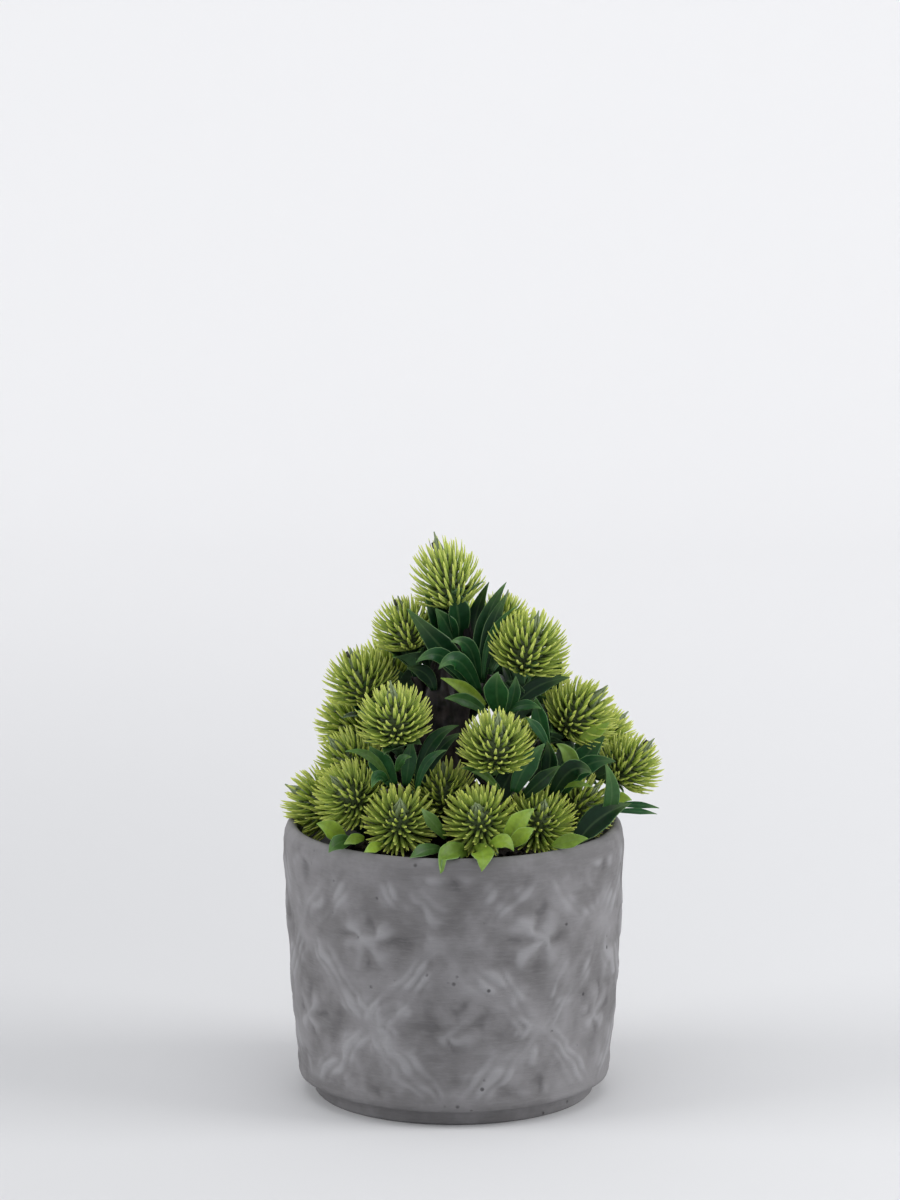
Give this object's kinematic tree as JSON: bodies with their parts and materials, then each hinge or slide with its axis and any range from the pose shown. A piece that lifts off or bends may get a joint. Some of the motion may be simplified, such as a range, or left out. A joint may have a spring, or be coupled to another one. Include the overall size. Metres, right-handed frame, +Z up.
{
  "type": "artificial tabletop tree",
  "caption": "Artificial tabletop tree: needle-ball flower heads on leafy sprays, plugged into a moulded trunk in a relief-patterned cement pot.",
  "frame": {"origin": "centre of the pot's flat underside", "axes": "+Z up, -Y towards the front of the plant, +X to its right"},
  "size_m": [0.1488, 0.1298, 0.2207],
  "materials": {
    "pot_cement": "matte cast cement",
    "foam": "rigid foam",
    "ground": "rough dark ground layer",
    "trunk_plastic": "satin moulded plastic",
    "core_wire": "drawn wire",
    "leaf_plastic": "satin moulded plastic",
    "needle_plastic": "satin moulded plastic"
  },
  "bodies": {
    "pot_body": {"pot": "pot_cement", "foam_plug": "foam", "ground_cover": "ground"},
    "trunk_body": {"trunk": "trunk_plastic", "trunk_core": "core_wire"},
    "spray_01": {"spray_01_stem": "leaf_plastic", "spray_01_head": "needle_plastic"},
    "spray_02": {"spray_02_stem": "leaf_plastic", "spray_02_head": "needle_plastic"},
    "spray_03": {"spray_03_stem": "leaf_plastic", "spray_03_head": "needle_plastic"},
    "spray_04": {"spray_04_stem": "leaf_plastic", "spray_04_head": "needle_plastic"},
    "spray_05": {"spray_05_stem": "leaf_plastic", "spray_05_head": "needle_plastic"},
    "spray_06": {"spray_06_stem": "leaf_plastic", "spray_06_head": "needle_plastic"},
    "spray_07": {"spray_07_stem": "leaf_plastic", "spray_07_head": "needle_plastic"},
    "spray_08": {"spray_08_stem": "leaf_plastic", "spray_08_head": "needle_plastic"},
    "spray_09": {"spray_09_stem": "leaf_plastic", "spray_09_head": "needle_plastic"},
    "spray_10": {"spray_10_stem": "leaf_plastic", "spray_10_head": "needle_plastic"},
    "spray_11": {"spray_11_stem": "leaf_plastic", "spray_11_head": "needle_plastic"},
    "spray_12": {"spray_12_stem": "leaf_plastic", "spray_12_head": "needle_plastic"},
    "spray_13": {"spray_13_stem": "leaf_plastic", "spray_13_head": "needle_plastic"},
    "spray_14": {"spray_14_stem": "leaf_plastic", "spray_14_head": "needle_plastic"},
    "spray_15": {"spray_15_stem": "leaf_plastic", "spray_15_head": "needle_plastic"},
    "spray_16": {"spray_16_stem": "leaf_plastic", "spray_16_head": "needle_plastic"},
    "spray_17": {"spray_17_stem": "leaf_plastic", "spray_17_head": "needle_plastic"},
    "spray_18": {"spray_18_stem": "leaf_plastic", "spray_18_head": "needle_plastic"},
    "spray_19": {"spray_19_stem": "leaf_plastic", "spray_19_head": "needle_plastic"},
    "spray_20": {"spray_20_stem": "leaf_plastic", "spray_20_head": "needle_plastic"},
    "spray_21": {"spray_21_stem": "leaf_plastic", "spray_21_head": "needle_plastic"},
    "spray_22": {"spray_22_stem": "leaf_plastic", "spray_22_head": "needle_plastic"},
    "spray_23": {"spray_23_stem": "leaf_plastic", "spray_23_head": "needle_plastic"},
    "spray_24": {"spray_24_stem": "leaf_plastic", "spray_24_head": "needle_plastic"},
    "spray_25": {"spray_25_stem": "leaf_plastic", "spray_25_head": "needle_plastic"},
    "spray_26": {"spray_26_stem": "leaf_plastic", "spray_26_head": "needle_plastic"},
    "spray_27": {"spray_27_stem": "leaf_plastic", "spray_27_head": "needle_plastic"}
  },
  "joints": [
    {"name": "plant_lift", "type": "slide", "parent": "pot_body", "child": "trunk_body", "axis": [0, 0, 1], "range_m": [0, 0.08]},
    {"name": "spray_01_pull", "type": "slide", "parent": "trunk_body", "child": "spray_01", "axis": [-0.3011, 0, 0.9536], "range_m": [0, 0.0075]},
    {"name": "spray_02_pull", "type": "slide", "parent": "trunk_body", "child": "spray_02", "axis": [-0.2601, -0.1, 0.9604], "range_m": [0, 0.0075]},
    {"name": "spray_03_pull", "type": "slide", "parent": "trunk_body", "child": "spray_03", "axis": [0.221, -0.2009, 0.9544], "range_m": [0, 0.0075]},
    {"name": "spray_04_pull", "type": "slide", "parent": "trunk_body", "child": "spray_04", "axis": [-0.4498, -0.08, 0.8896], "range_m": [0, 0.0075]},
    {"name": "spray_05_pull", "type": "slide", "parent": "trunk_body", "child": "spray_05", "axis": [-0.3003, 0.4504, 0.8408], "range_m": [0, 0.0075]},
    {"name": "spray_06_pull", "type": "slide", "parent": "trunk_body", "child": "spray_06", "axis": [-0.7409, 0.3004, 0.6007], "range_m": [0, 0.0075]},
    {"name": "spray_07_pull", "type": "slide", "parent": "trunk_body", "child": "spray_07", "axis": [-0.2001, -0.4501, 0.8703], "range_m": [0, 0.0075]},
    {"name": "spray_08_pull", "type": "slide", "parent": "trunk_body", "child": "spray_08", "axis": [-0.7531, -0.1807, 0.6326], "range_m": [0, 0.0075]},
    {"name": "spray_09_pull", "type": "slide", "parent": "trunk_body", "child": "spray_09", "axis": [-0.683, -0.6227, 0.3817], "range_m": [0, 0.0075]},
    {"name": "spray_10_pull", "type": "slide", "parent": "trunk_body", "child": "spray_10", "axis": [-0.7594, 0.1199, 0.6395], "range_m": [0, 0.0075]},
    {"name": "spray_11_pull", "type": "slide", "parent": "trunk_body", "child": "spray_11", "axis": [-0.2199, -0.8494, 0.4797], "range_m": [0, 0.0075]},
    {"name": "spray_12_pull", "type": "slide", "parent": "trunk_body", "child": "spray_12", "axis": [0.12, -0.8798, 0.4599], "range_m": [0, 0.0075]},
    {"name": "spray_13_pull", "type": "slide", "parent": "trunk_body", "child": "spray_13", "axis": [0.5219, -0.7727, 0.3613], "range_m": [0, 0.0075]},
    {"name": "spray_14_pull", "type": "slide", "parent": "trunk_body", "child": "spray_14", "axis": [0.699, -0.5792, 0.4194], "range_m": [0, 0.0075]},
    {"name": "spray_15_pull", "type": "slide", "parent": "trunk_body", "child": "spray_15", "axis": [0.1502, -0.5507, 0.8211], "range_m": [0, 0.0075]},
    {"name": "spray_16_pull", "type": "slide", "parent": "trunk_body", "child": "spray_16", "axis": [0.66, -0.34, 0.67], "range_m": [0, 0.0075]},
    {"name": "spray_17_pull", "type": "slide", "parent": "trunk_body", "child": "spray_17", "axis": [0.9025, -0.2006, 0.3811], "range_m": [0, 0.0075]},
    {"name": "spray_18_pull", "type": "slide", "parent": "trunk_body", "child": "spray_18", "axis": [0.0501, -0.4507, 0.8913], "range_m": [0, 0.0075]},
    {"name": "spray_19_pull", "type": "slide", "parent": "trunk_body", "child": "spray_19", "axis": [0.2492, 0.1495, 0.9568], "range_m": [0, 0.0075]},
    {"name": "spray_20_pull", "type": "slide", "parent": "trunk_body", "child": "spray_20", "axis": [0.7609, 0.4005, 0.5106], "range_m": [0, 0.0075]},
    {"name": "spray_21_pull", "type": "slide", "parent": "trunk_body", "child": "spray_21", "axis": [0, 0.4512, 0.8924], "range_m": [0, 0.0075]},
    {"name": "spray_22_pull", "type": "slide", "parent": "trunk_body", "child": "spray_22", "axis": [0.5514, 0.4511, 0.7018], "range_m": [0, 0.0075]},
    {"name": "spray_23_pull", "type": "slide", "parent": "trunk_body", "child": "spray_23", "axis": [0, 0.7507, 0.6606], "range_m": [0, 0.0075]},
    {"name": "spray_24_pull", "type": "slide", "parent": "trunk_body", "child": "spray_24", "axis": [-0.5217, 0.6421, 0.5618], "range_m": [0, 0.0075]},
    {"name": "spray_25_pull", "type": "slide", "parent": "trunk_body", "child": "spray_25", "axis": [0.4701, 0.7202, 0.5102], "range_m": [0, 0.0075]},
    {"name": "spray_26_pull", "type": "slide", "parent": "trunk_body", "child": "spray_26", "axis": [-0.6509, 0.4507, 0.6109], "range_m": [0, 0.0075]},
    {"name": "spray_27_pull", "type": "slide", "parent": "trunk_body", "child": "spray_27", "axis": [-0.15, 0.8997, 0.4099], "range_m": [0, 0.0075]}
  ]
}
